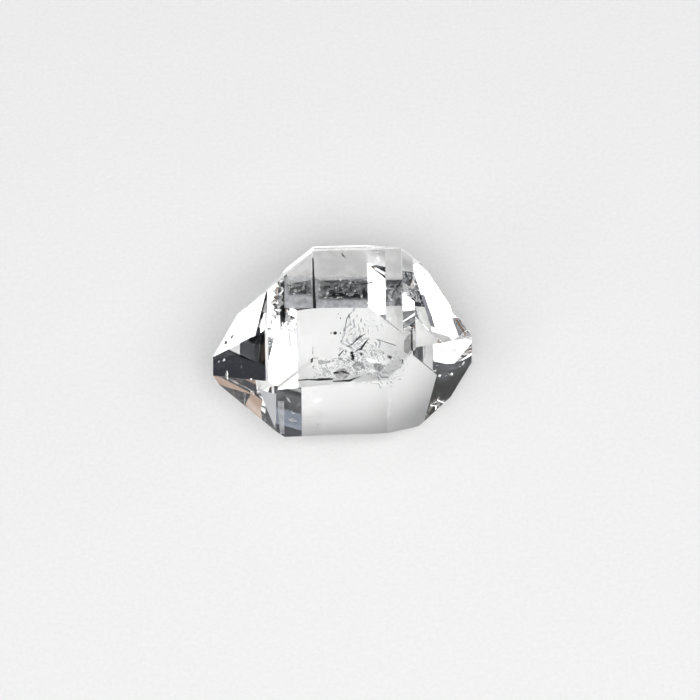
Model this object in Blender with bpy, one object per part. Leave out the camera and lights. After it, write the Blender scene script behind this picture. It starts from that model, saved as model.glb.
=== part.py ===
"""A doubly terminated quartz crystal, one clear solid lying on a prism face.

Metres, +Z up. The long (growth) axis runs along X and the crystal rests on
z = 0 with the middle of its footprint box over the origin. Every flat face is a
plane at its own growth distance from the growth centre, so the solid is a block
cut by those planes, then stepped and chipped where growth or wear left a mark.
"""

import math

import bmesh
import bpy
from mathutils import Matrix, Vector

MM = 0.001

# Quartz angles in degrees, which no growth distance changes.
FACE_STEP = 60.0
TIP_FACE_ANGLE = 51.8

# Growth distances in mm. Face 0 is the top one and the numbers run round the
# growth axis over the far side, so 3 is the face that the crystal rests on.
PRISM_DISTANCE = (4.99, 8.45, 6.40, 5.95, 8.13, 7.37)
LEFT_TIP_DISTANCE = (7.99, 8.18, 8.60, 7.26, 9.83, 9.84)
RIGHT_TIP_DISTANCE = (8.12, 10.07, 6.60, 8.60, 10.58, 8.05)

# Lean in degrees of the faces that grew slightly off their true angle.
PRISM_LEAN = {0: -1.5, 5: 2.0}
LEFT_TIP_LEAN = {0: -1.3, 3: -1.3}

# The far prism face is two planes: the left one leans away towards the left tip.
FAR_FACE_LEAN = -5.5
FAR_FACE_DISTANCE = 6.62

# The far left tip face stopped early, which leaves a steep wall of the body.
LATE_TIP_DISTANCE = 6.23
WALL_LEAN = 11.0
WALL_DISTANCE = 6.25

# A terrace in the near right part of the top face. Its two ledges are growth
# steps, one like the near prism face and one like the near right tip face, both
# turned a few degrees. BACK and LEFT are how far from the growth axis they start.
TERRACE_DEPTH = 0.45
TERRACE_TURN = -4.7
TERRACE_BACK = 3.62
TERRACE_LEFT = 1.05

# A thin plate of parallel growth stands on the far right tip face. It stays a
# little inside the prism faces, and its top is cut at an angle from the top face.
PLATE_LEFT = 4.16
PLATE_RIGHT = 5.70
PLATE_INSET = 0.12
PLATE_TOP_ANGLE = 70.0
PLATE_TOP_DISTANCE = 8.2

# Hollows cut by a ball. A letter and a number name a face: M a prism face, L and
# R a tip face, W the wall, T the terrace floor. Each row has the faces it sits
# on, x and y in mm from the growth centre on the first of them, the ball's radius
# and how deep it bites.
# Hackly breaks down the edge of the steep wall, where it is still as rough as rock.
WALL_BREAKS = (
    ("M0 W", -5.3, 4.3, 0.62, 0.20),
    ("M0 W", -5.4, 3.7, 0.50, 0.17),
    ("M0 W", -5.4, 3.1, 0.66, 0.21),
    ("M0 W", -5.5, 2.5, 0.52, 0.18),
    ("M0 W", -5.5, 1.9, 0.70, 0.22),
    ("M0 W", -5.6, 1.3, 0.50, 0.16),
    ("M0 W", -5.7, 0.8, 0.56, 0.17),
    ("M0 L0", -6.2, 0.1, 0.52, 0.14),
    ("M0 L0", -6.5, -0.6, 0.40, 0.10),
)
# Chips along the crest of the left tip and in its dark face.
LEFT_CHIPS = (
    ("L0 L1", -11.2, -0.9, 0.50, 0.12),
    ("L0 L1", -10.7, -0.6, 0.42, 0.11),
    ("L0 L1", -10.1, -0.3, 0.46, 0.10),
    ("L0 L1", -9.4, 0.0, 0.36, 0.08),
    ("L0", -10.9, -2.0, 0.34, 0.05),
    ("L0 L5", -11.3, -4.3, 0.40, 0.10),
    ("L0 L5", -8.4, -4.9, 0.50, 0.12),
)
# Smooth shell-like chips at the outline of the right tip and at the corner where
# the top face, the tip and the near side meet.
RIGHT_CHIPS = (
    ("R0 R1", 7.6, 5.2, 0.80, 0.17),
    ("R0 R1", 10.4, 1.5, 1.00, 0.20),
    ("R0 R5", 11.2, -1.2, 0.45, 0.08),
    ("R5", 10.6, -2.6, 0.50, 0.03),
    ("R5 R4", 8.6, -5.8, 0.40, 0.07),
    ("M0 R0 R5", 6.3, -3.4, 1.20, 0.16),
)
# Shallow shell-like hollows in the terrace floor, a pit of the same break in the
# flat above it, and one long scrape down the near left tip face.
TERRACE_HOLLOWS = (
    ("T", -1.6, -4.4, 1.50, 0.10),
    ("T", -0.3, -5.2, 1.20, 0.12),
    ("T", 1.2, -4.9, 1.80, 0.13),
    ("T", 2.6, -5.1, 1.30, 0.10),
    ("T", 3.6, -4.6, 1.60, 0.09),
    ("M5 T", 0.6, -6.0, 0.90, 0.10),
    ("M0", 1.0, -1.6, 1.10, 0.07),
    ("L5", -8.4, -5.6, 2.20, 0.04),
)
HACKLY = 1
SHELL_LIKE = 3
BALL_TURN = 2.4

BLOCK_SIDE = 60.0


def collection(name):
    made = bpy.data.collections.new(name)
    bpy.context.scene.collection.children.link(made)
    return made


def clear_scene():
    for old in list(bpy.data.objects):
        bpy.data.objects.remove(old, do_unlink=True)


def prism_normal(turn, lean=0.0):
    """Outward direction of a face of the prism, turned in degrees from the top one."""
    angle = math.radians(turn)
    tilt = math.radians(lean)
    round_axis = Vector((0.0, math.sin(angle), math.cos(angle)))
    return round_axis * math.cos(tilt) + Vector((math.sin(tilt), 0.0, 0.0))


def tip_normal(side, number, lean=0.0):
    """Outward direction of a tip face; side is -1 for the left tip and 1 for the right."""
    angle = math.radians(FACE_STEP * number)
    polar = math.radians(TIP_FACE_ANGLE + lean)
    spread = math.sin(polar)
    return Vector((side * math.cos(polar), spread * math.sin(angle), spread * math.cos(angle)))


def prism_face(number):
    """Outward direction and growth distance in mm of a prism face."""
    lean = PRISM_LEAN.get(number, 0.0)
    return prism_normal(FACE_STEP * number, lean), PRISM_DISTANCE[number]


def left_face(number):
    lean = LEFT_TIP_LEAN.get(number, 0.0)
    return tip_normal(-1, number, lean), LEFT_TIP_DISTANCE[number]


def right_face(number):
    return tip_normal(1, number), RIGHT_TIP_DISTANCE[number]


def wall_face():
    return prism_normal(2 * FACE_STEP, WALL_LEAN - 90.0), WALL_DISTANCE


def terrace_floor():
    top, level = prism_face(0)
    return top, level - TERRACE_DEPTH


def named_face(name):
    """The face that a letter and a number stand for, as in the tables of hollows."""
    if name == "W":
        return wall_face()
    if name == "T":
        return terrace_floor()
    kinds = {"M": prism_face, "L": left_face, "R": right_face}
    return kinds[name[0]](int(name[1:]))


def cut_block(name, planes, holder):
    """A block cut by planes, each an outward direction and a distance in mm."""
    mesh = bpy.data.meshes.new(name)
    block = bmesh.new()
    bmesh.ops.create_cube(block, size=BLOCK_SIDE * MM)
    for normal, distance in planes:
        geometry = block.verts[:] + block.edges[:] + block.faces[:]
        cut = bmesh.ops.bisect_plane(
            block,
            geom=geometry,
            dist=1e-7,
            plane_co=normal.normalized() * distance * MM,
            plane_no=normal.normalized(),
            clear_outer=True,
        )
        rim = [part for part in cut["geom_cut"] if isinstance(part, bmesh.types.BMEdge)]
        if rim:
            bmesh.ops.edgeloop_fill(block, edges=rim)
    bmesh.ops.recalc_face_normals(block, faces=block.faces[:])
    block.to_mesh(mesh)
    block.free()
    made = bpy.data.objects.new(name, mesh)
    holder.objects.link(made)
    return made


def add_boolean(body, tool, operation):
    step = body.modifiers.new(tool.name, "BOOLEAN")
    step.operation = operation
    step.solver = "EXACT"
    step.object = tool
    tool.hide_render = True
    tool.display_type = "WIRE"


def beyond(normal, distance):
    """The plane that keeps what lies further out than the given one."""
    return (-normal, -distance)


def growth_planes():
    planes = [prism_face(number) for number in range(6)]
    planes += [left_face(number) for number in range(6)]
    planes += [right_face(number) for number in range(6)]
    planes.append((prism_normal(2 * FACE_STEP, FAR_FACE_LEAN), FAR_FACE_DISTANCE))
    return planes


def late_tip(holder):
    planes = [
        beyond(tip_normal(-1, 2), LATE_TIP_DISTANCE),
        beyond(*wall_face()),
    ]
    return cut_block("late_tip", planes, holder)


def top_terrace(holder):
    turn = Matrix.Rotation(math.radians(TERRACE_TURN), 3, "Z")
    ledges = (
        (turn @ prism_normal(-FACE_STEP), TERRACE_BACK),
        (turn @ tip_normal(1, 5), TERRACE_LEFT),
    )
    planes = [beyond(*terrace_floor())]
    for normal, start in ledges:
        sideways = normal.xy.length
        planes.append(beyond(normal, PRISM_DISTANCE[0] * normal.z + start * sideways))
    return cut_block("top_terrace", planes, holder)


def growth_plate(holder):
    planes = [
        (prism_normal(FACE_STEP * number), PRISM_DISTANCE[number] - PLATE_INSET)
        for number in range(4)
    ]
    planes += [
        (tip_normal(1, 1), RIGHT_TIP_DISTANCE[1] - PLATE_INSET),
        (prism_normal(PLATE_TOP_ANGLE), PLATE_TOP_DISTANCE),
        (prism_normal(-FACE_STEP), 0.0),
        (Vector((1.0, 0.0, 0.0)), PLATE_RIGHT),
        (Vector((-1.0, 0.0, 0.0)), -PLATE_LEFT),
    ]
    return cut_block("growth_plate", planes, holder)


def hollow_ball(name, row, grain, holder):
    """A ball that bites a small way into the faces it is named for."""
    faces, x, y, radius, depth = row
    normals = [named_face(face)[0].normalized() for face in faces.split()]
    normal, distance = named_face(faces.split()[0])
    height = (distance - normal.x * x - normal.y * y) / normal.z
    outward = sum(normals, Vector()).normalized()
    middle = Vector((x, y, height)) + outward * (radius - depth)
    turn = Matrix.Rotation(BALL_TURN * x, 4, "X") @ Matrix.Rotation(BALL_TURN * y, 4, "Z")
    mesh = bpy.data.meshes.new(name)
    ball = bmesh.new()
    bmesh.ops.create_icosphere(ball, subdivisions=grain, radius=radius * MM, matrix=turn)
    ball.to_mesh(mesh)
    ball.free()
    mesh.transform(Matrix.Translation(middle * MM))
    made = bpy.data.objects.new(name, mesh)
    holder.objects.link(made)
    return made


def hollow_balls(holder):
    groups = (
        ("wall_break", WALL_BREAKS, HACKLY),
        ("left_chip", LEFT_CHIPS, HACKLY),
        ("right_chip", RIGHT_CHIPS, SHELL_LIKE),
        ("terrace_hollow", TERRACE_HOLLOWS, SHELL_LIKE),
    )
    made = []
    for name, rows, grain in groups:
        for number, row in enumerate(rows, start=1):
            made.append(hollow_ball(f"{name}_{number}", row, grain, holder))
    return made


def clear_quartz():
    """Colourless rock crystal: clear right through, with faces that grew glass smooth."""
    material = bpy.data.materials.new("clear_quartz")
    material.use_nodes = True
    shader = material.node_tree.nodes["Principled BSDF"]
    shader.inputs["Base Color"].default_value = (0.98, 0.985, 0.98, 1.0)
    shader.inputs["Metallic"].default_value = 0.0
    shader.inputs["Roughness"].default_value = 0.02
    shader.inputs["IOR"].default_value = 1.544
    shader.inputs["Transmission Weight"].default_value = 1.0
    return material


def stand_on_origin(body, moved):
    """Move everything so that the body rests on z = 0, centred over the origin."""
    bpy.context.view_layer.update()
    graph = bpy.context.evaluated_depsgraph_get()
    shape = body.evaluated_get(graph)
    corners = [body.matrix_world @ vertex.co for vertex in shape.data.vertices]
    low = [min(corner[axis] for corner in corners) for axis in range(3)]
    high = [max(corner[axis] for corner in corners) for axis in range(3)]
    shift = Vector((-(low[0] + high[0]) / 2, -(low[1] + high[1]) / 2, -low[2]))
    for each in moved:
        each.location = each.location + shift
    bpy.context.view_layer.update()


def main():
    clear_scene()
    parts = collection("herkimer_diamond")
    cutters = collection("cutters")
    cutters.hide_render = True
    crystal = cut_block("crystal", growth_planes(), parts)
    crystal.data.materials.append(clear_quartz())
    steps = [late_tip(cutters), top_terrace(cutters)]
    plate = growth_plate(cutters)
    balls = hollow_balls(cutters)
    for tool in steps:
        add_boolean(crystal, tool, "DIFFERENCE")
    add_boolean(crystal, plate, "UNION")
    for tool in balls:
        add_boolean(crystal, tool, "DIFFERENCE")
    stand_on_origin(crystal, [crystal, plate] + steps + balls)


main()
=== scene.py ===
"""A clear quartz crystal with a point at each end, lying on a pale sheet."""

import math
import random

import bmesh
import bpy
from mathutils import Matrix, Vector
from mathutils.bvhtree import BVHTree


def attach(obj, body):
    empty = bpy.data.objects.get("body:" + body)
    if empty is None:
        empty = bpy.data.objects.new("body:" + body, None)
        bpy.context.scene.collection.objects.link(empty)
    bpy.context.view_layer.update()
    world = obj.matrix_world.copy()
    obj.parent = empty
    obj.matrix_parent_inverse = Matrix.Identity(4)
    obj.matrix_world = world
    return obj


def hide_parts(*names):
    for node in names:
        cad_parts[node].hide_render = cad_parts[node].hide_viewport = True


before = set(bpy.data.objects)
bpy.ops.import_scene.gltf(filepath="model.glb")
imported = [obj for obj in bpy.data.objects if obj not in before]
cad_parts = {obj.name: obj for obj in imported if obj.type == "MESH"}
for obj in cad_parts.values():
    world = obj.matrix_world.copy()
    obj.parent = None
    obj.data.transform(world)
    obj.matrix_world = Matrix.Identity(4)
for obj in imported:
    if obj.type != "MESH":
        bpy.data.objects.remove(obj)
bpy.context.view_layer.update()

scene = bpy.context.scene

# Camera. It looks down on the level top face from the near side, square to the
# growth axis but for a small turn, with a long lens as for a small stone.
MM = 0.001
LOOK_DOWN = math.radians(69.4)
PICTURE_TURN = math.radians(1.7)
PICTURE_MIDDLE = 350.0
LENS_DISTANCE_PX = 2200.0
PX_PER_MM = 10.83
CENTRE = Vector((0.071, 0.245, 5.95)) * MM
CENTRE_AT_PX = Vector((343.0, 340.0))
CLIP_START = 10.0 * MM

level_right = Vector((1.0, 0.0, 0.0))
towards = Vector((0.0, -math.cos(LOOK_DOWN), math.sin(LOOK_DOWN)))
level_up = towards.cross(level_right)
right = level_right * math.cos(PICTURE_TURN) - level_up * math.sin(PICTURE_TURN)
up = level_right * math.sin(PICTURE_TURN) + level_up * math.cos(PICTURE_TURN)
off_centre = Vector((PICTURE_MIDDLE, PICTURE_MIDDLE)) - CENTRE_AT_PX
eye = CENTRE + (
    right * off_centre.x - up * off_centre.y + towards * LENS_DISTANCE_PX
) * (MM / PX_PER_MM)
camera = bpy.data.objects.new("camera", bpy.data.cameras.new("camera"))
camera.data.angle = 2.0 * math.atan(PICTURE_MIDDLE / LENS_DISTANCE_PX)
camera.data.clip_start = CLIP_START
picture = Matrix((right, up, towards)).transposed().to_4x4()
camera.matrix_world = picture
camera.location = eye
scene.collection.objects.link(camera)
scene.camera = camera


# The crystal, one piece as it grew. It is a copy of the solid with its loose
# triangles joined and its sharp edges worn by a few hundredths of a millimetre.
MERGE_DISTANCE = 0.001 * MM
LEVEL_ANGLE = math.radians(0.2)
EDGE_WEAR = 0.025 * MM
EDGE_ANGLE = math.radians(20.0)
QUARTZ_IOR = 1.544
QUARTZ_TINT = "fdfdfd"
QUARTZ_ABSORPTION = "e6e5e0"
QUARTZ_ABSORPTION_PER_M = 4.0
STRIATION_SPACING = 0.3 * MM
STRIATION_RUN = 14.0 * MM
STRIATION_HEIGHT = 0.0006 * MM


def to_linear(hex_colour):
    """An sRGB hex value as linear red, green, blue and alpha."""
    values = [int(hex_colour[i:i + 2], 16) / 255 for i in (0, 2, 4)]
    linear = [v / 12.92 if v <= 0.04045 else ((v + 0.055) / 1.055) ** 2.4 for v in values]
    return (*linear, 1.0)


def add_node(tree, kind, settings=None, inputs=None):
    """A node with its settings and its input values or links."""
    node = tree.nodes.new(kind)
    for name, value in (settings or {}).items():
        setattr(node, name, value)
    for name, value in (inputs or {}).items():
        if isinstance(value, bpy.types.NodeSocket):
            tree.links.new(value, node.inputs[name])
        else:
            node.inputs[name].default_value = value
    return node


def new_material(name):
    """An empty node material and its tree, with the output node ready."""
    material = bpy.data.materials.new(name)
    material.use_nodes = True
    material.node_tree.nodes.clear()
    output = add_node(material.node_tree, "ShaderNodeOutputMaterial")
    return material, material.node_tree, output


# Rock crystal: colourless quartz with faces that grew glass smooth, crossed by
# very faint growth lines. The eye sees through it to the sheet below, and sees
# bright and dark mirror-like inner faces.
rock_crystal, tree, output = new_material("rock_crystal")
place = add_node(tree, "ShaderNodeTexCoord").outputs["Object"]
stretched = add_node(tree, "ShaderNodeMapping", inputs={
    "Vector": place,
    "Scale": (1.0 / STRIATION_SPACING, 1.0 / STRIATION_RUN, 1.0 / STRIATION_RUN),
})
lines = add_node(tree, "ShaderNodeTexNoise", inputs={
    "Vector": stretched.outputs["Vector"], "Scale": 1.0, "Detail": 3.0, "Roughness": 0.6,
})
relief = add_node(tree, "ShaderNodeBump", inputs={
    "Strength": 0.5, "Distance": STRIATION_HEIGHT, "Height": lines.outputs["Fac"],
})
shader = add_node(tree, "ShaderNodeBsdfPrincipled", inputs={
    "Base Color": to_linear(QUARTZ_TINT),
    "Roughness": 0.0,
    "IOR": QUARTZ_IOR,
    "Transmission Weight": 1.0,
    "Normal": relief.outputs["Normal"],
})
tree.links.new(shader.outputs["BSDF"], output.inputs["Surface"])
body = add_node(tree, "ShaderNodeVolumeAbsorption", inputs={
    "Color": to_linear(QUARTZ_ABSORPTION),
    "Density": QUARTZ_ABSORPTION_PER_M,
})
tree.links.new(body.outputs["Volume"], output.inputs["Volume"])


def add_piece(name, shape, material, smooth=False):
    """A finished piece that belongs to the crystal, with the shape that it is given."""
    mesh = bpy.data.meshes.new(name)
    shape.to_mesh(mesh)
    shape.free()
    if smooth:
        mesh.polygons.foreach_set("use_smooth", [True] * len(mesh.polygons))
    mesh.materials.append(material)
    piece = bpy.data.objects.new(name, mesh)
    scene.collection.objects.link(piece)
    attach(piece, "root")
    return piece


shape = bmesh.new()
shape.from_mesh(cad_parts["crystal"].data)
bmesh.ops.remove_doubles(shape, verts=shape.verts[:], dist=MERGE_DISTANCE)
bmesh.ops.dissolve_limit(
    shape, angle_limit=LEVEL_ANGLE, verts=shape.verts[:], edges=shape.edges[:]
)
skin = BVHTree.FromBMesh(shape)
faces = [(face.normal.copy(), [v.co.copy() for v in face.verts]) for face in shape.faces]
sharp = [
    edge for edge in shape.edges
    if len(edge.link_faces) == 2 and edge.calc_face_angle() > EDGE_ANGLE
]
bmesh.ops.bevel(
    shape, geom=sharp, offset=EDGE_WEAR, offset_type="OFFSET",
    segments=1, profile=0.5, affect="EDGES", clamp_overlap=True,
)
crystal = add_piece("quartz_crystal", shape, rock_crystal)
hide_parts("crystal")


# What is seen inside the crystal. Each mark is placed where the eye meets it
# through the face above it, at a depth that is measured along the bent ray. The
# tables of marks give places in the picture as columns and rows, in pixels.
def seen_at(column, row, depth):
    """The point at a depth in mm inside the crystal that shows at a place in the picture."""
    ray = (
        right * (column - PICTURE_MIDDLE) + up * (PICTURE_MIDDLE - row)
        - towards * LENS_DISTANCE_PX
    ).normalized()
    hit, normal, _, _ = skin.ray_cast(eye, ray)
    cosine = -ray.dot(normal)
    bent = math.sqrt(1.0 - (1.0 - cosine * cosine) / QUARTZ_IOR ** 2)
    inward = ray / QUARTZ_IOR + normal * (cosine / QUARTZ_IOR - bent)
    return hit + inward.normalized() * depth * MM


def outline_seen_at(corners, depth):
    """The corners of an outline in the picture, at one depth in mm inside the crystal."""
    return [seen_at(column, row, depth) for column, row in corners]


# Carbon specks: grains of a black tarry carbon that the crystal grew round. They
# lie in the crack under the middle of the top face and here and there beside it.
SPECK_SEED = 3
CARBON_GRAIN = 0.04 * MM
CARBON_RELIEF = 0.01 * MM
CARBON_DARK = "050505"
CARBON_PALE = "1c1a18"
# how far a speck's surface lies from its middle, as shares of its radius
SPECK_LEAST = 0.6
SPECK_MOST = 1.15
# column, row, depth in mm, radius in mm
SPECKS = (
    (335.2, 333.2, 0.5, 0.17), (331.0, 333.0, 0.5, 0.07), (340.5, 333.0, 0.5, 0.08),
    (338.2, 314.0, 0.5, 0.07), (340.5, 318.0, 0.5, 0.08), (336.5, 317.0, 0.5, 0.04),
    (351.8, 352.8, 0.5, 0.18), (352.6, 356.0, 0.5, 0.17), (361.2, 354.2, 0.5, 0.13),
    (356.5, 351.0, 0.5, 0.07), (345.5, 351.5, 0.5, 0.08), (349.0, 346.0, 0.5, 0.06),
    (343.0, 343.0, 1.1, 0.04), (414.6, 354.0, 0.4, 0.10), (368.0, 331.5, 1.4, 0.03),
    (318.0, 424.5, 0.5, 0.05), (340.0, 422.5, 0.5, 0.05), (274.5, 337.5, 1.2, 0.03),
)

# Anthraxolite: black carbon, set hard like old tar. It is nearly black with a
# faint sheen, and rough as soot crumbs.
black_carbon, tree, output = new_material("black_carbon")
place = add_node(tree, "ShaderNodeTexCoord").outputs["Object"]
grain = add_node(tree, "ShaderNodeTexNoise", inputs={
    "Vector": place, "Scale": 1.0 / CARBON_GRAIN, "Detail": 2.0,
})
tone = add_node(tree, "ShaderNodeMix", {"data_type": "RGBA"}, {
    "Factor": grain.outputs["Fac"], "A": to_linear(CARBON_DARK), "B": to_linear(CARBON_PALE),
})
crumbs = add_node(tree, "ShaderNodeBump", inputs={
    "Strength": 0.6, "Distance": CARBON_RELIEF, "Height": grain.outputs["Fac"],
})
shader = add_node(tree, "ShaderNodeBsdfPrincipled", inputs={
    "Base Color": tone.outputs["Result"], "Roughness": 0.35, "Normal": crumbs.outputs["Normal"],
})
tree.links.new(shader.outputs["BSDF"], output.inputs["Surface"])

dice = random.Random(SPECK_SEED)
shape = bmesh.new()
for column, row, depth, radius in SPECKS:
    middle = seen_at(column, row, depth)
    grown = bmesh.ops.create_icosphere(
        shape, subdivisions=2, radius=radius * MM, matrix=Matrix.Translation(middle)
    )
    for vert in grown["verts"]:
        vert.co = middle + (vert.co - middle) * dice.uniform(SPECK_LEAST, SPECK_MOST)
add_piece("carbon_specks", shape, black_carbon)


# Dark slivers: the thin black line that drops from the far edge of the top face,
# and short strokes beside it, round the crack in the middle and along the ledge.
# They are cracks seen edge on, filled with carbon.
SLIVER_THICKNESS = 0.02 * MM
# first column and row, last column and row, depth in mm, width in mm at each end
SLIVERS = (
    (312.8, 258.0, 314.6, 308.5, 0.12, 0.13, 0.27),
    (342.0, 253.5, 343.6, 256.2, 0.2, 0.09, 0.10),
    (343.6, 256.2, 345.8, 258.0, 0.2, 0.10, 0.03),
    (290.3, 346.0, 289.9, 353.5, 0.6, 0.05, 0.09),
    (289.9, 353.5, 289.4, 371.0, 0.6, 0.03, 0.02),
    (313.0, 346.5, 312.8, 354.0, 0.6, 0.04, 0.06),
    (289.0, 330.0, 290.3, 346.0, 0.7, 0.02, 0.04),
    (372.6, 282.2, 356.0, 285.8, 0.3, 0.13, 0.04),
    (411.8, 330.0, 412.6, 351.0, 0.25, 0.12, 0.16),
    (296.5, 380.5, 308.0, 379.5, 0.15, 0.08, 0.14),
    (308.0, 379.5, 318.0, 379.8, 0.15, 0.10, 0.18),
    (333.5, 373.0, 343.0, 371.5, 0.2, 0.16, 0.22),
    (343.0, 371.5, 350.0, 374.2, 0.2, 0.20, 0.05),
    (318.0, 379.5, 333.0, 379.0, 0.15, 0.26, 0.14),
    (333.0, 381.5, 349.0, 380.5, 0.15, 0.09, 0.17),
    (349.0, 380.5, 360.0, 376.5, 0.15, 0.17, 0.06),
    (353.0, 343.5, 360.5, 336.5, 0.5, 0.08, 0.17),
    (360.5, 336.5, 366.0, 333.5, 0.5, 0.12, 0.03),
    (360.5, 349.5, 367.5, 339.5, 0.5, 0.22, 0.08),
    (356.0, 350.5, 361.0, 349.0, 0.5, 0.06, 0.16),
    (347.5, 347.0, 353.0, 343.5, 0.5, 0.05, 0.12),
    (338.5, 356.0, 344.0, 349.5, 0.5, 0.16, 0.05),
    (344.5, 331.0, 347.0, 318.0, 0.6, 0.05, 0.09),
    (347.0, 318.0, 352.5, 311.0, 0.6, 0.09, 0.03),
    (376.0, 339.0, 396.0, 345.5, 0.6, 0.04, 0.08),
)


def add_strips(name, rows, material):
    """Thin strips that lie level across, each from one place in the picture to another."""
    shape = bmesh.new()
    for first_column, first_row, last_column, last_row, depth, first_width, last_width in rows:
        start = seen_at(first_column, first_row, depth)
        end = seen_at(last_column, last_row, depth)
        along = (end - start).normalized()
        across = along.cross(Vector((0.0, 0.0, 1.0))).normalized()
        lift = across.cross(along).normalized() * SLIVER_THICKNESS / 2
        ends = []
        for middle, width in ((start, first_width), (end, last_width)):
            side = across * (width * MM) / 2
            corners = (side + lift, -side + lift, -side - lift, side - lift)
            ends.append([shape.verts.new(middle + corner) for corner in corners])
        shape.faces.new(ends[0][::-1])
        shape.faces.new(ends[1])
        for i in range(4):
            j = (i + 1) % 4
            shape.faces.new((ends[0][i], ends[0][j], ends[1][j], ends[1][i]))
    bmesh.ops.recalc_face_normals(shape, faces=shape.faces[:])
    return add_piece(name, shape, material)


add_strips("dark_slivers", SLIVERS, black_carbon)


# Iron stain in the finest cracks, along the rim of the right tip and beside the
# steep wall on the left. The strips are a tenth of a millimetre wide.
RUST_BLOTCH = 0.3 * MM
RUST_DARK = "6b4a35"
RUST_PALE = "e0a06a"
# first column and row, last column and row, depth in mm, width in mm at each end
STAINS = (
    (455.0, 317.5, 459.5, 324.5, 0.06, 0.06, 0.16),
    (459.5, 324.5, 466.5, 336.0, 0.06, 0.16, 0.05),
    (437.0, 342.0, 441.0, 342.6, 0.10, 0.10, 0.03),
    (277.0, 286.0, 275.6, 303.0, 0.14, 0.10, 0.05),
    (403.8, 303.5, 405.4, 308.5, 0.20, 0.06, 0.08),
)

# Rust film: iron oxide that seeped in, dry and dull, orange in the thin parts
# and dark brown where it is thick.
rust_film, tree, output = new_material("rust_film")
place = add_node(tree, "ShaderNodeTexCoord").outputs["Object"]
blotches = add_node(tree, "ShaderNodeTexNoise", inputs={
    "Vector": place, "Scale": 1.0 / RUST_BLOTCH, "Detail": 3.0,
})
tone = add_node(tree, "ShaderNodeMix", {"data_type": "RGBA"}, {
    "Factor": blotches.outputs["Fac"], "A": to_linear(RUST_DARK), "B": to_linear(RUST_PALE),
})
shader = add_node(tree, "ShaderNodeBsdfPrincipled", inputs={
    "Base Color": tone.outputs["Result"], "Roughness": 0.6,
})
tree.links.new(shader.outputs["BSDF"], output.inputs["Surface"])

add_strips("iron_stains", STAINS, rust_film)


# Milky haze close under the far part of the top face. It leaves two clear windows
# with round corners, through which the far side shows, greyed by painted shade below them.
HAZE_FIRST = Vector((284.5, 275.0))
HAZE_LAST = Vector((367.0, 308.0))
HAZE_STEP = 1.5
HAZE_EDGE = 3.0
HAZE_DEPTH = 0.2
HAZE_THICKNESS = 0.01 * MM
HAZE_SHARE = 0.62
HAZE_THIN = 0.6 * HAZE_SHARE
HAZE_DENSE = 1.4 * HAZE_SHARE
HAZE_CLUMP = 0.5 * MM
HAZE_COLOUR = "f2f3f6"
CLEAR_CORNER = 2.5
# first column and row, last column and row
CLEAR_WINDOWS = ((289.0, 282.0, 311.0, 294.0), (319.5, 279.5, 372.0, 298.5))
# A white blade, a pale stripe and three small chips of haze under the lower left
# faces: how dense, then the columns and rows of the corners.
BLADE_DEPTH = 0.10
BLADES = (
    (2.4, ((258.8, 389.0), (276.2, 394.0), (275.2, 428.0), (268.5, 413.0))),
    (0.8, ((277.6, 401.0), (284.0, 401.0), (284.4, 434.0), (280.0, 434.0))),
    (1.2, ((286.0, 397.0), (289.0, 398.5), (291.0, 403.0), (287.5, 400.5))),
    (1.0, ((290.5, 410.0), (293.0, 412.5), (296.5, 413.0), (292.5, 414.5))),
    (1.0, ((288.0, 420.0), (293.0, 418.0), (297.0, 421.5), (291.0, 421.8))),
)


def haze_at(spot):
    """How thick the haze is at a place in the picture, from 0 to 1."""
    nearest = HAZE_EDGE
    for first_column, first_row, last_column, last_row in CLEAR_WINDOWS:
        over = Vector((
            max(first_column + CLEAR_CORNER - spot.x, spot.x - last_column + CLEAR_CORNER, 0.0),
            max(first_row + CLEAR_CORNER - spot.y, spot.y - last_row + CLEAR_CORNER, 0.0),
        )).length - CLEAR_CORNER
        nearest = min(nearest, max(over, 0.0))
    from_top = min((spot.y - HAZE_FIRST.y) / (2.0 * HAZE_EDGE), 1.0)
    return from_top * nearest / HAZE_EDGE


# Milky haze: crowds of drops too small to see, in healed quartz. They scatter the
# light from above, so the eye sees a soft pale grey that thins out at its edges.
milky_haze, tree, output = new_material("milky_haze")
place = add_node(tree, "ShaderNodeTexCoord").outputs["Object"]
thick = add_node(tree, "ShaderNodeAttribute", {"attribute_name": "haze"})
mottle = add_node(tree, "ShaderNodeTexNoise", inputs={
    "Vector": place, "Scale": 1.0 / HAZE_CLUMP, "Detail": 4.0, "Roughness": 0.6,
})
uneven = add_node(tree, "ShaderNodeMapRange", inputs={
    "Value": mottle.outputs["Fac"], "From Min": 0.3, "From Max": 0.7,
    "To Min": HAZE_THIN, "To Max": HAZE_DENSE,
})
share = add_node(tree, "ShaderNodeMath", {"operation": "MULTIPLY", "use_clamp": True}, {
    0: thick.outputs["Fac"], 1: uneven.outputs["Result"],
})
clear = add_node(tree, "ShaderNodeBsdfTransparent")
drops = add_node(tree, "ShaderNodeBsdfDiffuse", inputs={"Color": to_linear(HAZE_COLOUR)})
film = add_node(tree, "ShaderNodeMixShader", inputs={
    0: share.outputs["Value"], 1: clear.outputs["BSDF"], 2: drops.outputs["BSDF"],
})
tree.links.new(film.outputs["Shader"], output.inputs["Surface"])

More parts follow.
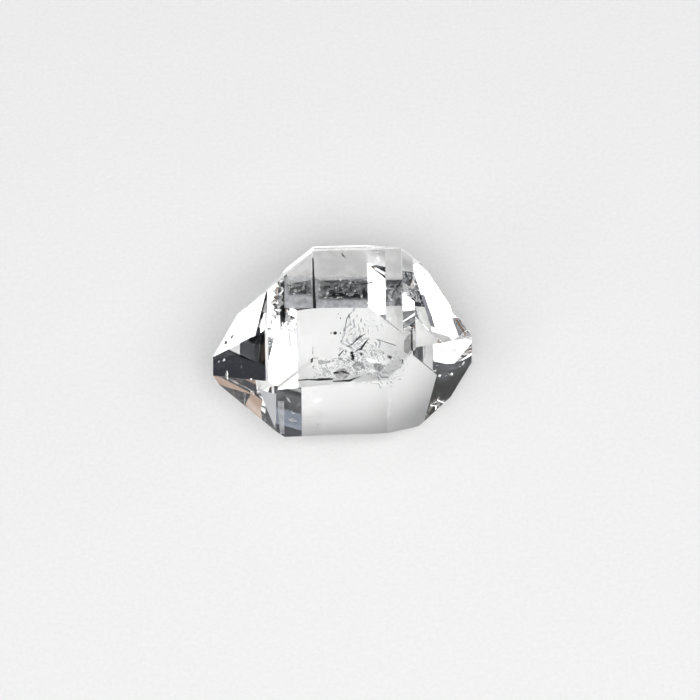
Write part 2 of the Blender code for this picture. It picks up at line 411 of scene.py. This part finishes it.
shape = bmesh.new()
density = shape.verts.layers.float.new("haze")
grid = []
for j in range(int((HAZE_LAST.y - HAZE_FIRST.y) / HAZE_STEP) + 1):
    line = []
    for i in range(int((HAZE_LAST.x - HAZE_FIRST.x) / HAZE_STEP) + 1):
        spot = HAZE_FIRST + Vector((i, j)) * HAZE_STEP
        vert = shape.verts.new(seen_at(spot.x, spot.y, HAZE_DEPTH))
        vert[density] = haze_at(spot)
        line.append(vert)
    grid.append(line)
for j in range(len(grid) - 1):
    for i in range(len(grid[j]) - 1):
        shape.faces.new((grid[j][i], grid[j + 1][i], grid[j + 1][i + 1], grid[j][i + 1]))
for dense, corners in BLADES:
    blade = [shape.verts.new(corner) for corner in outline_seen_at(corners, BLADE_DEPTH)]
    for vert in blade:
        vert[density] = dense
    shape.faces.new(blade)
bmesh.ops.recalc_face_normals(shape, faces=shape.faces[:])
bmesh.ops.solidify(shape, geom=shape.faces[:], thickness=HAZE_THICKNESS)
add_piece("milky_haze", shape, milky_haze)


# Air lenses: flat leaf-shaped cavities in the crack below the middle of the top
# face and along the ledge, and small bubbles in the clear windows and the tips.
# Light bends away from air, so each has a black rim and a clear middle.
AIR_IN_QUARTZ_IOR = 1.0 / QUARTZ_IOR
FROST_PATCH = 0.15 * MM
FROST_ROUGHNESS = 0.12
LENS_SEGMENTS = 20
LENS_RINGS = 12
# column, row, depth, then length, width and thickness in mm, turn in the picture
LENSES = (
    (356.5, 341.5, 0.7, 1.35, 0.34, 0.16, 50.0),
    (363.0, 342.5, 0.8, 1.35, 0.40, 0.18, 40.0),
    (345.0, 352.0, 0.7, 0.55, 0.30, 0.14, 70.0),
    (355.0, 357.5, 0.7, 0.50, 0.22, 0.12, -20.0),
    (340.5, 349.0, 0.9, 0.45, 0.25, 0.12, 30.0),
    (324.0, 363.0, 0.3, 1.15, 0.30, 0.10, -2.0),
    (336.5, 366.0, 0.3, 0.55, 0.26, 0.12, 55.0),
    (346.0, 365.0, 0.3, 0.60, 0.28, 0.12, -40.0),
    (352.5, 368.5, 0.3, 0.45, 0.25, 0.12, 65.0),
    (343.5, 377.0, 0.3, 0.70, 0.24, 0.12, 8.0),
    (329.0, 376.5, 0.3, 0.60, 0.22, 0.10, 35.0),
    (378.0, 368.5, 0.4, 0.80, 0.60, 0.20, 80.0),
    (366.5, 371.5, 0.4, 0.60, 0.30, 0.12, -60.0),
    (327.5, 293.0, 0.5, 0.30, 0.28, 0.20, 0.0),
    (336.0, 288.0, 0.5, 0.20, 0.18, 0.14, 0.0),
    (340.5, 280.5, 0.5, 0.22, 0.20, 0.14, 0.0),
    (295.5, 290.5, 0.5, 0.32, 0.30, 0.22, 0.0),
    (350.0, 283.0, 0.5, 0.26, 0.18, 0.12, 20.0),
    (355.0, 291.0, 0.5, 0.20, 0.16, 0.12, 60.0),
    (347.0, 294.0, 0.5, 0.16, 0.14, 0.10, 0.0),
    (433.5, 371.0, 0.3, 0.24, 0.22, 0.14, 0.0),
    (224.0, 360.5, 0.4, 0.30, 0.26, 0.14, 20.0),
    (219.0, 361.5, 0.4, 0.20, 0.16, 0.10, 50.0),
    (227.0, 374.5, 0.4, 0.80, 0.28, 0.12, 95.0),
)

# Air in quartz: an empty gap, seen only by how it bends and mirrors the light. Its
# walls are smooth with a faint frosting.
air_gap, tree, output = new_material("air_gap")
place = add_node(tree, "ShaderNodeTexCoord").outputs["Object"]
frost = add_node(tree, "ShaderNodeTexNoise", inputs={
    "Vector": place, "Scale": 1.0 / FROST_PATCH, "Detail": 2.0,
})
rough = add_node(tree, "ShaderNodeMapRange", inputs={
    "Value": frost.outputs["Fac"], "From Min": 0.4, "From Max": 0.7,
    "To Min": 0.0, "To Max": FROST_ROUGHNESS,
})
shader = add_node(tree, "ShaderNodeBsdfGlass", inputs={
    "Color": to_linear("ffffff"), "Roughness": rough.outputs["Result"], "IOR": AIR_IN_QUARTZ_IOR,
})
tree.links.new(shader.outputs["BSDF"], output.inputs["Surface"])

shape = bmesh.new()
for column, row, depth, length, width, thick, turn in LENSES:
    frame_of_lens = (
        Matrix.Translation(seen_at(column, row, depth)) @ picture
        @ Matrix.Rotation(math.radians(turn), 4, "Z")
        @ Matrix.Diagonal((length * MM, width * MM, thick * MM, 1.0))
    )
    bmesh.ops.create_uvsphere(
        shape, u_segments=LENS_SEGMENTS, v_segments=LENS_RINGS, radius=0.5, matrix=frame_of_lens
    )
add_piece("air_lenses", shape, air_gap, smooth=True)


# Crack flakes: a crowd of small air gaps along the ledge of the terrace and, more
# thinly, under the middle of the top face. They make the grey and white speckle.
FLAKE_SEED = 7
FLAKE_SIZE = (0.62 * MM, 0.30 * MM, 0.10 * MM)
SMALLEST_FLAKE = 0.3
FLAKE_TILT = 0.6
# flakes per mm2, depth in mm, then columns and rows of the corners
FLAKE_ZONES = (
    (6.0, 0.28, ((300, 379), (318, 362), (345, 359), (384, 359), (386, 366), (371, 375), (346, 381))),
    (2.2, 0.60, ((336, 352), (345, 335), (360, 330), (384, 342), (402, 356), (384, 358), (345, 358))),
)


def flake_scatter():
    """Nodes that scatter flat air gaps over faces, turned and sized at random."""
    tree = bpy.data.node_groups.new("flake_scatter", "GeometryNodeTree")
    for name, kind in (
        ("Geometry", "NodeSocketGeometry"), ("Density", "NodeSocketFloat"),
        ("Seed", "NodeSocketInt"), ("Size", "NodeSocketVector"), ("Smallest", "NodeSocketFloat"),
        ("Tilt", "NodeSocketFloat"), ("Material", "NodeSocketMaterial"),
    ):
        tree.interface.new_socket(name, in_out="INPUT", socket_type=kind)
    tree.interface.new_socket("Geometry", in_out="OUTPUT", socket_type="NodeSocketGeometry")
    given = add_node(tree, "NodeGroupInput").outputs
    points = add_node(tree, "GeometryNodeDistributePointsOnFaces", inputs={
        "Mesh": given["Geometry"], "Density": given["Density"], "Seed": given["Seed"],
    })
    ball = add_node(tree, "GeometryNodeMeshIcoSphere", inputs={"Radius": 0.5, "Subdivisions": 3})
    flake = add_node(tree, "GeometryNodeTransform", inputs={
        "Geometry": ball.outputs["Mesh"], "Scale": given["Size"],
    })
    low = add_node(tree, "ShaderNodeMath", {"operation": "MULTIPLY"}, {0: given["Tilt"], 1: -1.0})
    least = add_node(tree, "ShaderNodeCombineXYZ", inputs={
        "X": low.outputs["Value"], "Y": low.outputs["Value"], "Z": 0.0,
    })
    most = add_node(tree, "ShaderNodeCombineXYZ", inputs={
        "X": given["Tilt"], "Y": given["Tilt"], "Z": math.pi,
    })
    turn = add_node(tree, "FunctionNodeRandomValue", {"data_type": "FLOAT_VECTOR"}, {
        0: least.outputs["Vector"], 1: most.outputs["Vector"], "Seed": given["Seed"],
    })
    grow = add_node(tree, "FunctionNodeRandomValue", {"data_type": "FLOAT"}, {
        2: given["Smallest"], 3: 1.0, "Seed": given["Seed"],
    })
    placed = add_node(tree, "GeometryNodeInstanceOnPoints", inputs={
        "Points": points.outputs["Points"], "Instance": flake.outputs["Geometry"],
        "Rotation": points.outputs["Rotation"], "Scale": grow.outputs[1],
    })
    turned = add_node(tree, "GeometryNodeRotateInstances", inputs={
        "Instances": placed.outputs["Instances"], "Rotation": turn.outputs["Value"],
    })
    real = add_node(tree, "GeometryNodeRealizeInstances", inputs={
        "Geometry": turned.outputs["Instances"],
    })
    painted = add_node(tree, "GeometryNodeSetMaterial", inputs={
        "Geometry": real.outputs["Geometry"], "Material": given["Material"],
    })
    result = add_node(tree, "NodeGroupOutput")
    tree.links.new(painted.outputs["Geometry"], result.inputs["Geometry"])
    return tree


scatter = flake_scatter()
socket = {
    item.name: item.identifier
    for item in scatter.interface.items_tree if item.in_out == "INPUT"
}
shape = bmesh.new()
for number, (density, depth, corners) in enumerate(FLAKE_ZONES):
    zone = bpy.data.meshes.new("flake_zone")
    zone.from_pydata(outline_seen_at(corners, depth), [], [range(len(corners))])
    holder = bpy.data.objects.new("flake_zone", zone)
    scene.collection.objects.link(holder)
    modifier = holder.modifiers.new("scatter", "NODES")
    modifier.node_group = scatter
    modifier[socket["Density"]] = density / MM ** 2
    modifier[socket["Seed"]] = FLAKE_SEED + number
    modifier[socket["Size"]] = FLAKE_SIZE
    modifier[socket["Smallest"]] = SMALLEST_FLAKE
    modifier[socket["Tilt"]] = FLAKE_TILT
    modifier[socket["Material"]] = air_gap
    flakes = bpy.data.meshes.new_from_object(
        holder.evaluated_get(bpy.context.evaluated_depsgraph_get())
    )
    shape.from_mesh(flakes)
    bpy.data.objects.remove(holder)
add_piece("crack_flakes", shape, air_gap, smooth=True)


# The shell-like crack under the middle of the top face. It is a curved gap in
# the quartz with ripples round the point where it began, seen as pale arcs with
# thin dark edges. Three smaller flakes of the same break lie beside it.
CRACK_SEED = 11
CRACK_THICKNESS = 0.012 * MM
CRACK_MARGIN = 0.05 * MM
CRACK_RINGS = 26
CRACK_SPOKES = 40
OPEN_PATCH = 0.9 * MM
HACKLE_SPACING = 0.6 * MM
HACKLE_HEIGHT = 0.03 * MM
FILM_COLOUR = "e9ecef"
# the share of the reach that is left out round the middle
CRACK_START = 0.12
# how many lobes and nicks the rim has in a full turn, and how far they stand out
# as a share of the reach
LOBES = 5
LOBE_HEIGHT = 0.10
NICKS = 13
NICK_HEIGHT = 0.05
# the ripples' angle from the middle to the rim, and how far they sway and how often
RIPPLE_ANGLE = 34.0
RIPPLE_SWAY = 1.5
SWAYS = 3
# column, row and depth of the middle, then reach, bowl height and ripple in mm,
# tilt about the picture's right and up directions, and first and last spoke angle
CRACKS = (
    (372.0, 335.0, 1.6, 3.0, 0.55, 0.035, 14.0, -18.0, 40.0, 250.0),
    (362.0, 352.0, 1.2, 2.2, 0.40, 0.040, -20.0, 10.0, -150.0, 40.0),
    (345.0, 372.0, 0.5, 2.4, 0.18, 0.030, -8.0, 4.0, -10.0, 200.0),
    (385.0, 362.0, 0.7, 2.2, 0.30, 0.030, 10.0, -12.0, 170.0, 380.0),
)

# Crack film: a gap of air thinner than a hair. It mirrors light that meets it
# slantwise, and is clear where the crack has closed again. Its hackle is too fine
# to show here, so it is drawn as coarse as it needs.
crack_film, tree, output = new_material("crack_film")
place = add_node(tree, "ShaderNodeTexCoord").outputs["Object"]
patches = add_node(tree, "ShaderNodeTexNoise", inputs={
    "Vector": place, "Scale": 1.0 / OPEN_PATCH, "Detail": 5.0, "Roughness": 0.65,
})
open_part = add_node(tree, "ShaderNodeMapRange", inputs={
    "Value": patches.outputs["Fac"], "From Min": 0.40, "From Max": 0.56,
})
fine = add_node(tree, "ShaderNodeTexNoise", inputs={
    "Vector": place, "Scale": 1.0 / HACKLE_SPACING, "Detail": 2.0,
})
hackle = add_node(tree, "ShaderNodeBump", inputs={
    "Strength": 0.25, "Distance": HACKLE_HEIGHT, "Height": fine.outputs["Fac"],
})
tilted = add_node(tree, "ShaderNodeLayerWeight", inputs={
    "Blend": 0.5, "Normal": hackle.outputs["Normal"],
})
mirroring = add_node(tree, "ShaderNodeMapRange", inputs={
    "Value": tilted.outputs["Facing"], "From Min": 0.16, "From Max": 0.36,
    "To Min": 0.03, "To Max": 0.85,
})
share = add_node(tree, "ShaderNodeMath", {"operation": "MULTIPLY"}, {
    0: mirroring.outputs["Result"], 1: open_part.outputs["Result"],
})
clear = add_node(tree, "ShaderNodeBsdfTransparent")
mirror = add_node(tree, "ShaderNodeBsdfAnisotropic", inputs={
    "Color": to_linear(FILM_COLOUR), "Roughness": 0.08, "Normal": hackle.outputs["Normal"],
})
film = add_node(tree, "ShaderNodeMixShader", inputs={
    0: share.outputs["Value"], 1: clear.outputs["BSDF"], 2: mirror.outputs["BSDF"],
})
tree.links.new(film.outputs["Shader"], output.inputs["Surface"])

dice = random.Random(CRACK_SEED)
shape = bmesh.new()
for column, row, depth, reach, bowl, ripple, tip_up, tip_right, first, last in CRACKS:
    frame_of_crack = (
        Matrix.Translation(seen_at(column, row, depth)) @ picture
        @ Matrix.Rotation(math.radians(tip_up), 4, "X")
        @ Matrix.Rotation(math.radians(tip_right), 4, "Y")
    )
    phase = dice.uniform(0.0, math.tau)
    grid = []
    for ring in range(CRACK_RINGS + 1):
        out = CRACK_START + (1.0 - CRACK_START) * ring / CRACK_RINGS
        line = []
        for spoke in range(CRACK_SPOKES + 1):
            angle = math.radians(first + (last - first) * spoke / CRACK_SPOKES)
            lobe = LOBE_HEIGHT * math.sin(LOBES * angle + phase)
            nick = NICK_HEIGHT * math.sin(NICKS * angle + 2 * phase)
            distance = reach * out * (1.0 + lobe + nick)
            sway = RIPPLE_SWAY * math.sin(SWAYS * angle)
            fall = bowl * out * out + ripple * math.sin(out * RIPPLE_ANGLE + sway)
            spot = Vector((distance * math.cos(angle), distance * math.sin(angle), -fall)) * MM
            line.append(shape.verts.new(frame_of_crack @ spot))
        grid.append(line)
    for ring in range(CRACK_RINGS):
        for spoke in range(CRACK_SPOKES):
            shape.faces.new((
                grid[ring][spoke], grid[ring][spoke + 1],
                grid[ring + 1][spoke + 1], grid[ring + 1][spoke],
            ))
near_skin = []
for vert in shape.verts:
    nearest, normal, _, _ = skin.find_nearest(vert.co)
    if (nearest - vert.co).dot(normal) < CRACK_MARGIN:
        near_skin.append(vert)
bmesh.ops.delete(shape, geom=near_skin, context="VERTS")
bmesh.ops.recalc_face_normals(shape, faces=shape.faces[:])
bmesh.ops.solidify(shape, geom=shape.faces[:], thickness=CRACK_THICKNESS)
add_piece("shell_like_crack", shape, crack_film)


# Grey sheets, most of them painted shade: thin films that run close behind a face and
# follow it, so what is seen through or in that face turns grey. They lie behind the far
# side, the steep rough wall beside the left tip, parts of two tip faces, and the top face.
GREY_SHEET_THICKNESS = 0.01 * MM
CLOUD_SIZE = 1.6 * MM
CLOUD_STRENGTH = 0.05
PLAIN_GREY = "fbfbfb"
WARM_GREY = "f0ece8"
COOL_GREY = "eef0f4"
# direction of the face, how far off it may be in degrees, least area in mm2,
# depth in mm and part of the face that the painted shade sheet covers
FAR_SIDE = (Vector((0.0, 0.866, -0.5)), 8.0, 3.0, 0.10, 0.97)
STEEP_WALL = (Vector((-0.98, 0.165, -0.095)), 4.0, 0.1, 0.22, 0.90)
# the share of the light that comes through
FAR_SIDE_KEPT = 0.92
STEEP_WALL_KEPT = 0.18
TIP_SHADE_KEPT = 0.16
GREY_PATCH_KEPT = 0.60
# the painted shade sheets under the left tip face and the lower right one: one depth
# in mm, and the columns and rows of the corners
TIP_SHADE_DEPTH = 0.12
TIP_SHADE_OUTLINES = (
    ((240, 343), (252, 336.5), (265, 334), (265, 365), (257, 363), (240, 357)),
    ((439.5, 384), (455, 377), (467.5, 367.5), (458, 381), (449, 394.5), (440, 401)),
)
# the grey patches, painted shade below the clear windows of the haze and darker spots
# on the ledge and at the right end of the top face: depth in mm, then the columns and
# rows of the corners
GREY_PATCHES = (
    (0.75, ((290, 283), (310, 283), (310, 293), (290, 293))),
    (0.75, ((321, 281), (346, 280), (367, 281.5), (367, 297), (321, 297.5))),
    (0.26, ((318, 360), (324, 359.3), (331, 360.5), (330, 363), (324, 364.3), (318.5, 363.5))),
    (0.26, ((373, 363), (378, 361.5), (383, 363), (383.5, 369), (379, 372), (375, 369.5))),
    (0.26, ((333, 373), (339, 369), (345, 368), (350, 374), (346, 378.5), (337, 378))),
    (0.26, ((352, 365), (358, 362), (363, 363.5), (365, 368), (358, 371), (354, 369))),
    (0.50, ((404, 341), (409, 334), (412, 334), (412, 351), (408, 354), (404, 352))),
)


def outline_area(corners):
    """The area inside a flat outline."""
    total = Vector()
    for corner, following in zip(corners, corners[1:]):
        total += (corner - corners[0]).cross(following - corners[0])
    return total.length / 2


def behind_faces(direction, spread, least_area, depth, cover):
    """Outlines close behind the faces that look one way."""
    outlines = []
    for normal, corners in faces:
        if math.degrees(normal.angle(direction)) > spread:
            continue
        middle = sum(corners, Vector()) / len(corners)
        inner = [middle + (corner - middle) * cover - normal * depth * MM for corner in corners]
        if outline_area(inner) > least_area * MM * MM:
            outlines.append(inner)
    return outlines


def add_grey_sheet(name, outlines, kept, tint):
    """A thin grey sheet over each outline: for the most part painted shade."""
    shape = bmesh.new()
    for outline in outlines:
        shape.faces.new([shape.verts.new(corner) for corner in outline])
    shape.normal_update()
    bmesh.ops.solidify(shape, geom=shape.faces[:], thickness=GREY_SHEET_THICKNESS)
    # Grey film, painted shade for the most part: it lets through only a grey share of the
    # light, thicker and thinner in soft clouds.
    material, tree, output = new_material(name)
    place = add_node(tree, "ShaderNodeTexCoord").outputs["Object"]
    clouds = add_node(tree, "ShaderNodeTexNoise", inputs={
        "Vector": place, "Scale": 1.0 / CLOUD_SIZE, "Detail": 4.0, "Roughness": 0.6,
    })
    # light crosses both sides of the sheet, so each side keeps the square root
    kept_by_side = math.sqrt(kept)
    density = add_node(tree, "ShaderNodeMapRange", inputs={
        "Value": clouds.outputs["Fac"], "From Min": 0.3, "From Max": 0.7,
        "To Min": kept_by_side + CLOUD_STRENGTH, "To Max": kept_by_side - CLOUD_STRENGTH,
    })
    grey = add_node(tree, "ShaderNodeMix", {"data_type": "RGBA", "blend_type": "MULTIPLY"}, {
        "Factor": 1.0, "A": to_linear(tint), "B": density.outputs["Result"],
    })
    film = add_node(tree, "ShaderNodeBsdfTransparent", inputs={"Color": grey.outputs["Result"]})
    tree.links.new(film.outputs["BSDF"], output.inputs["Surface"])
    return add_piece(name, shape, material)


# Painted shade: a faint grey sheet behind the far side.
add_grey_sheet("far_side_painted_shade", behind_faces(*FAR_SIDE), FAR_SIDE_KEPT, PLAIN_GREY)
# Painted shade: a dark sheet behind the steep wall that lets through 18% of the light.
add_grey_sheet("steep_wall_painted_shade", behind_faces(*STEEP_WALL), STEEP_WALL_KEPT, WARM_GREY)
# Painted shade: dark films under part of the left tip face and under the lower right one.
tip_painted_shade = [outline_seen_at(corners, TIP_SHADE_DEPTH) for corners in TIP_SHADE_OUTLINES]
add_grey_sheet("tip_painted_shade", tip_painted_shade, TIP_SHADE_KEPT, COOL_GREY)
# Grey patches: painted shade in the two clear windows of the haze, darker spots on the ledge and at
# the right end.
grey_patches = [outline_seen_at(corners, depth) for depth, corners in GREY_PATCHES]
add_grey_sheet("grey_patches", grey_patches, GREY_PATCH_KEPT, PLAIN_GREY)


# The sheet that the crystal lies on, stage only: matt paper, pale and level. The
# crystal gathers light on the paper under it, and a soft glow stands for that.
SHEET_SIDE = 3.0
SHEET_DROP = 0.03 * MM
SHEET_COLOUR = "f2f2f1"
SHEET_SPECK = "e3e3e2"
SHEET_FIBRE = 0.35 * MM
SHEET_TOOTH = 0.02 * MM
POOL_HALF_LENGTH = 12.5 * MM
POOL_HALF_WIDTH = 9.8 * MM
POOL_SHIFT = (0.14, -0.22, 0.0)
POOL_GLOW = 0.42
# where the glow starts to fade and where it ends, as shares of its half size
POOL_BRIGHT_TO = 0.2
POOL_ENDS_AT = 0.95

# Matt paper: pressed fibres without a coating. It is off-white, faintly speckled,
# and has no shine.
matt_paper, tree, output = new_material("matt_paper")
place = add_node(tree, "ShaderNodeTexCoord").outputs["Object"]
fibre = add_node(tree, "ShaderNodeTexNoise", inputs={
    "Vector": place, "Scale": 1.0 / SHEET_FIBRE, "Detail": 3.0, "Roughness": 0.7,
})
tone = add_node(tree, "ShaderNodeMix", {"data_type": "RGBA"}, {
    "Factor": fibre.outputs["Fac"], "A": to_linear(SHEET_SPECK), "B": to_linear(SHEET_COLOUR),
})
tooth = add_node(tree, "ShaderNodeBump", inputs={
    "Strength": 0.4, "Distance": SHEET_TOOTH, "Height": fibre.outputs["Fac"],
})
flat = add_node(tree, "ShaderNodeMapping", inputs={
    "Vector": place, "Location": POOL_SHIFT,
    "Scale": (1.0 / POOL_HALF_LENGTH, 1.0 / POOL_HALF_WIDTH, 0.0),
})
from_middle = add_node(tree, "ShaderNodeVectorMath", {"operation": "LENGTH"}, {
    0: flat.outputs["Vector"],
})
pool = add_node(tree, "ShaderNodeMapRange", {"interpolation_type": "SMOOTHSTEP"}, {
    "Value": from_middle.outputs["Value"],
    "From Min": POOL_BRIGHT_TO, "From Max": POOL_ENDS_AT,
    "To Min": POOL_GLOW, "To Max": 0.0,
})
shader = add_node(tree, "ShaderNodeBsdfPrincipled", inputs={
    "Base Color": tone.outputs["Result"],
    "Roughness": 0.7,
    "Specular IOR Level": 0.2,
    "Normal": tooth.outputs["Normal"],
    "Emission Color": to_linear("ffffff"),
    "Emission Strength": pool.outputs["Result"],
})
tree.links.new(shader.outputs["BSDF"], output.inputs["Surface"])
bpy.ops.mesh.primitive_plane_add(size=SHEET_SIDE, location=(0.0, 0.0, -SHEET_DROP))
sheet = bpy.context.object
sheet.name = "pale_sheet"
sheet.data.materials.append(matt_paper)


# The light: dim grey surroundings, one large soft light overhead, dimmer soft
# panels round it, warm cards low on the right and one blue card on the far side.
SURROUNDINGS_COLOUR = "393b40"
LIGHT_DISTANCE = 1.0
WHITE = "ffffff"
WARM = "d6b59c"
BLUE = "c9d6ee"
# azimuth, elevation, half width and half height in degrees, brightness, colour
LIGHTS = {
    "overhead": (280, 63.5, 22, 20, 4.9, WHITE),
    "left_window": (190, 52, 26, 10, 1.6, WHITE),
    "left_window_low": (211, 31, 9, 10, 2.4, WHITE),
    "left_window_near": (238, 54, 9, 8, 1.0, WHITE),
    "far_window": (118, 62, 6, 4.5, 1.9, WHITE),
    "right_window": (344, 44, 22, 8.5, 2.2, WHITE),
    "right_panel": (18, 23, 7, 8, 1.2, WHITE),
    "warm_card": (30, 5, 20, 4.5, 0.65, WARM),
    "warm_card_high": (353, 20, 5, 5, 0.6, WARM),
    "far_card": (57, 10, 6, 3, 0.35, WARM),
    "near_panel": (303, 30, 7, 4, 1.0, WHITE),
    "blue_card": (68, 18, 6, 4, 0.3, BLUE),
}
# how often light may turn inside the crystal, and how many films it may cross
LIGHT_BOUNCES = 24
FILMS_CROSSED = 32

surroundings = bpy.data.worlds.new("surroundings")
surroundings.use_nodes = True
background = surroundings.node_tree.nodes["Background"]
background.inputs["Color"].default_value = to_linear(SURROUNDINGS_COLOUR)
scene.world = surroundings


def add_soft_light(name, azimuth, elevation, half_width, half_height, brightness, colour):
    """A flat light that faces the crystal, as large and as bright as it looks from there."""
    light = bpy.data.lights.new(name, "AREA")
    light.shape = "RECTANGLE"
    light.size = 2.0 * LIGHT_DISTANCE * math.tan(math.radians(half_width))
    light.size_y = 2.0 * LIGHT_DISTANCE * math.tan(math.radians(half_height))
    light.energy = brightness * math.pi * light.size * light.size_y
    light.color = to_linear(colour)[:3]
    turn = math.radians(azimuth)
    rise = math.radians(elevation)
    direction = Vector((
        math.cos(rise) * math.cos(turn), math.cos(rise) * math.sin(turn), math.sin(rise),
    ))
    lamp = bpy.data.objects.new(name, light)
    lamp.location = direction * LIGHT_DISTANCE
    lamp.rotation_euler = direction.to_track_quat("Z", "Y").to_euler()
    scene.collection.objects.link(lamp)


for name, values in LIGHTS.items():
    add_soft_light(name, *values)

scene.view_settings.view_transform = "Standard"
scene.cycles.max_bounces = LIGHT_BOUNCES
scene.cycles.transmission_bounces = LIGHT_BOUNCES
scene.cycles.glossy_bounces = LIGHT_BOUNCES
scene.cycles.transparent_max_bounces = FILMS_CROSSED
